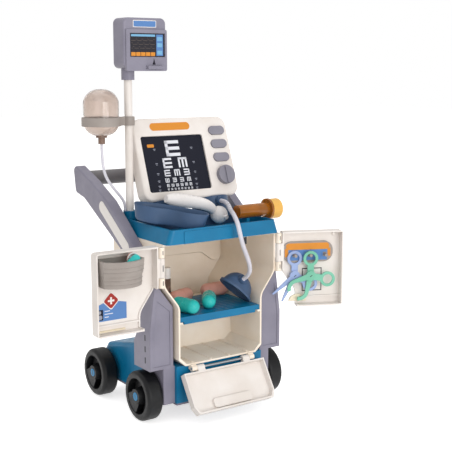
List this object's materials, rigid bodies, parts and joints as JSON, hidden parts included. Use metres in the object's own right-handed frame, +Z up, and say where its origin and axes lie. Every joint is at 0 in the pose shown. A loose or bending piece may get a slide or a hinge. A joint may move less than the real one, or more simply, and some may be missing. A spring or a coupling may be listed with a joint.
{
  "type": "toy doctor trolley",
  "caption": "Wheeled toy doctor cart with a two-door cabinet and drop flap, top tray with a leaning chart viewer, drip pole with a monitor, push handle and loose toy instruments.",
  "frame": {"origin": "on the floor under the middle of the whole cart in the pictured pose, doors open", "axes": "+Z up, +Y to the rear where the push bar is, +X to the cart's right-hand door seen from the front"},
  "size_m": [0.4404, 0.3158, 0.63],
  "materials": {
    "blue_plastic": "smooth moulded plastic",
    "cream_plastic": "smooth moulded plastic",
    "grey_plastic": "fine satin",
    "wheel_plastic": "satin black",
    "cap_plastic": "smooth",
    "steel_rod": "drawn rod",
    "slate_plastic": "satin",
    "dark_plastic": "satin",
    "button_plastic": "smooth",
    "chart_paper": "printed card",
    "smoke_plastic": "smoky translucent",
    "warm_grey_plastic": "satin",
    "brown_plastic": "satin",
    "clear_hose": "smooth soft vinyl",
    "mask_plastic": "satin",
    "hanger_plastic": "printed panel, bare of words",
    "lilac_plastic": "smooth",
    "green_plastic": "smooth",
    "dish_plastic": "satin",
    "therm_plastic": "smooth",
    "amber_plastic": "amber translucent",
    "yellow_plastic": "smooth",
    "teal_plastic": "smooth",
    "pink_plastic": "smooth",
    "vial_plastic": "smooth"
  },
  "bodies": {
    "cart": {"chassis": "blue_plastic", "shelf": "blue_plastic", "top_tray": "blue_plastic", "cabinet": "cream_plastic", "drip_pole": "cream_plastic", "viewer_front": "cream_plastic", "viewer_back": "cream_plastic", "left_column": "grey_plastic", "right_column": "grey_plastic", "base_plate": "grey_plastic", "left_arm": "grey_plastic", "right_arm": "grey_plastic", "push_bar": "grey_plastic", "axle_caps": "cap_plastic", "front_axle_rod": "steel_rod", "rear_axle_rod": "steel_rod", "door_pins": "steel_rod", "flap_pin": "steel_rod", "viewer_stand": "slate_plastic", "door_catch": "dark_plastic", "drip_bottle": "smoke_plastic", "bottle_ring": "warm_grey_plastic", "drip_nozzle": "brown_plastic", "mask_hose": "clear_hose", "drip_tube": "clear_hose", "breathing_mask": "mask_plastic"},
    "front_left_wheel": {"front_left_wheel": "wheel_plastic"},
    "front_right_wheel": {"front_right_wheel": "wheel_plastic"},
    "rear_left_wheel": {"rear_left_wheel": "wheel_plastic"},
    "rear_right_wheel": {"rear_right_wheel": "wheel_plastic"},
    "left_door": {"left_door": "cream_plastic", "door_basket": "warm_grey_plastic"},
    "right_door": {"right_door": "cream_plastic", "tool_hanger": "hanger_plastic", "scissors_a": "lilac_plastic"},
    "flap": {"flap": "cream_plastic"},
    "button_1": {"viewer_button_1": "button_plastic"},
    "button_2": {"viewer_button_2": "button_plastic"},
    "button_3": {"viewer_button_3": "button_plastic"},
    "dial": {"viewer_dial": "button_plastic"},
    "card": {"chart_card": "chart_paper"},
    "monitor": {"monitor_case": "grey_plastic", "monitor_bezel": "grey_plastic", "monitor_knob": "grey_plastic"},
    "scissors_half": {"scissors_b": "lilac_plastic"},
    "forceps": {"forceps_a": "green_plastic"},
    "forceps_half": {"forceps_b": "green_plastic"},
    "dish": {"kidney_dish": "dish_plastic"},
    "thermometer": {"ear_thermometer": "therm_plastic"},
    "sample_tube": {"sample_tube": "amber_plastic"},
    "tube_plug": {"tube_plug": "yellow_plastic"},
    "mirror": {"dental_mirror": "pink_plastic"},
    "probe": {"toy_probe": "teal_plastic"},
    "teal_left": {"teal_capsule_left": "teal_plastic"},
    "teal_right": {"teal_capsule_right": "teal_plastic"},
    "pink_left": {"pink_capsule_left": "pink_plastic"},
    "pink_right": {"pink_capsule_right": "pink_plastic"},
    "vial": {"medicine_vial": "vial_plastic"}
  },
  "joints": [
    {"name": "front_left_wheel_spin", "type": "hinge", "parent": "cart", "child": "front_left_wheel", "pos_m": [-0.11725, -0.06, 0.04], "axis": [1, 0, 0], "continuous": true},
    {"name": "rear_left_wheel_spin", "type": "hinge", "parent": "cart", "child": "rear_left_wheel", "pos_m": [-0.11725, 0.088, 0.04], "axis": [1, 0, 0], "continuous": true},
    {"name": "front_right_wheel_spin", "type": "hinge", "parent": "cart", "child": "front_right_wheel", "pos_m": [0.11725, -0.06, 0.04], "axis": [1, 0, 0], "continuous": true},
    {"name": "rear_right_wheel_spin", "type": "hinge", "parent": "cart", "child": "rear_right_wheel", "pos_m": [0.11725, 0.088, 0.04], "axis": [1, 0, 0], "continuous": true},
    {"name": "left_door_hinge", "type": "hinge", "parent": "cart", "child": "left_door", "pos_m": [-0.1115, -0.109, 0.253], "axis": [0, 0, -1], "range_deg": [-180, 0]},
    {"name": "right_door_hinge", "type": "hinge", "parent": "cart", "child": "right_door", "pos_m": [0.1115, -0.109, 0.253], "axis": [0, 0, 1], "range_deg": [-156, 0], "deforming": ["mask_hose"]},
    {"name": "flap_hinge", "type": "hinge", "parent": "cart", "child": "flap", "pos_m": [0, -0.11, 0.0855], "axis": [1, 0, 0], "range_deg": [-147, 0]},
    {"name": "button_1_press", "type": "slide", "parent": "cart", "child": "button_1", "axis": [0, 0.9397, -0.342], "range_m": [0, 0.002], "stiffness_N_per_m": 200},
    {"name": "button_2_press", "type": "slide", "parent": "cart", "child": "button_2", "axis": [0, 0.9397, -0.342], "range_m": [0, 0.002], "stiffness_N_per_m": 200},
    {"name": "button_3_press", "type": "slide", "parent": "cart", "child": "button_3", "axis": [0, 0.9397, -0.342], "range_m": [0, 0.002], "stiffness_N_per_m": 200},
    {"name": "dial_turn", "type": "hinge", "parent": "cart", "child": "dial", "pos_m": [0.0835, 0.00597, 0.37189], "axis": [0, -0.9397, 0.342], "range_deg": [-135, 135]},
    {"name": "card_pull", "type": "slide", "parent": "cart", "child": "card", "axis": [0, 0.342, 0.9397], "range_m": [0, 0.07]},
    {"name": "monitor_swivel", "type": "hinge", "parent": "cart", "child": "monitor", "pos_m": [-0.088, 0.029, 0.545], "axis": [0, 0, 1], "range_deg": [-90, 90]},
    {"name": "scissors_pivot", "type": "hinge", "parent": "right_door", "child": "scissors_half", "pos_m": [0.1411, -0.11627, 0.211], "axis": [-0.4067, -0.9135, 0], "range_deg": [-8, 24]},
    {"name": "forceps_off", "type": "slide", "parent": "right_door", "child": "forceps", "axis": [-0.4067, -0.9135, 0], "range_m": [0, 0.03]},
    {"name": "forceps_pivot", "type": "hinge", "parent": "forceps", "child": "forceps_half", "pos_m": [0.16245, -0.13223, 0.211], "axis": [-0.4067, -0.9135, 0], "range_deg": [-5, 40]},
    {"name": "dish_lift", "type": "slide", "parent": "cart", "child": "dish", "axis": [0, -0.5, 0.866], "range_m": [0, 0.1]},
    {"name": "thermometer_lift", "type": "slide", "parent": "cart", "child": "thermometer", "axis": [-0.9, 0, 0.4359], "range_m": [0, 0.1]},
    {"name": "tube_lift", "type": "slide", "parent": "cart", "child": "sample_tube", "axis": [0, 0, 1], "range_m": [0, 0.1]},
    {"name": "plug_pull", "type": "slide", "parent": "sample_tube", "child": "tube_plug", "axis": [1, 0, 0], "range_m": [0, 0.03]},
    {"name": "mirror_lift", "type": "slide", "parent": "left_door", "child": "mirror", "axis": [0, 0, 1], "range_m": [0, 0.06]},
    {"name": "probe_lift", "type": "slide", "parent": "left_door", "child": "probe", "axis": [0, 0, 1], "range_m": [0, 0.06]},
    {"name": "teal_left_out", "type": "slide", "parent": "cart", "child": "teal_left", "axis": [0, -1, 0], "range_m": [0, 0.12]},
    {"name": "teal_right_out", "type": "slide", "parent": "cart", "child": "teal_right", "axis": [0, -1, 0], "range_m": [0, 0.12]},
    {"name": "pink_left_lift", "type": "slide", "parent": "cart", "child": "pink_left", "axis": [0, 0, 1], "range_m": [0, 0.04]},
    {"name": "pink_right_lift", "type": "slide", "parent": "cart", "child": "pink_right", "axis": [0, 0, 1], "range_m": [0, 0.04]},
    {"name": "vial_lift", "type": "slide", "parent": "cart", "child": "vial", "axis": [0, 0, 1], "range_m": [0, 0.04]}
  ]
}
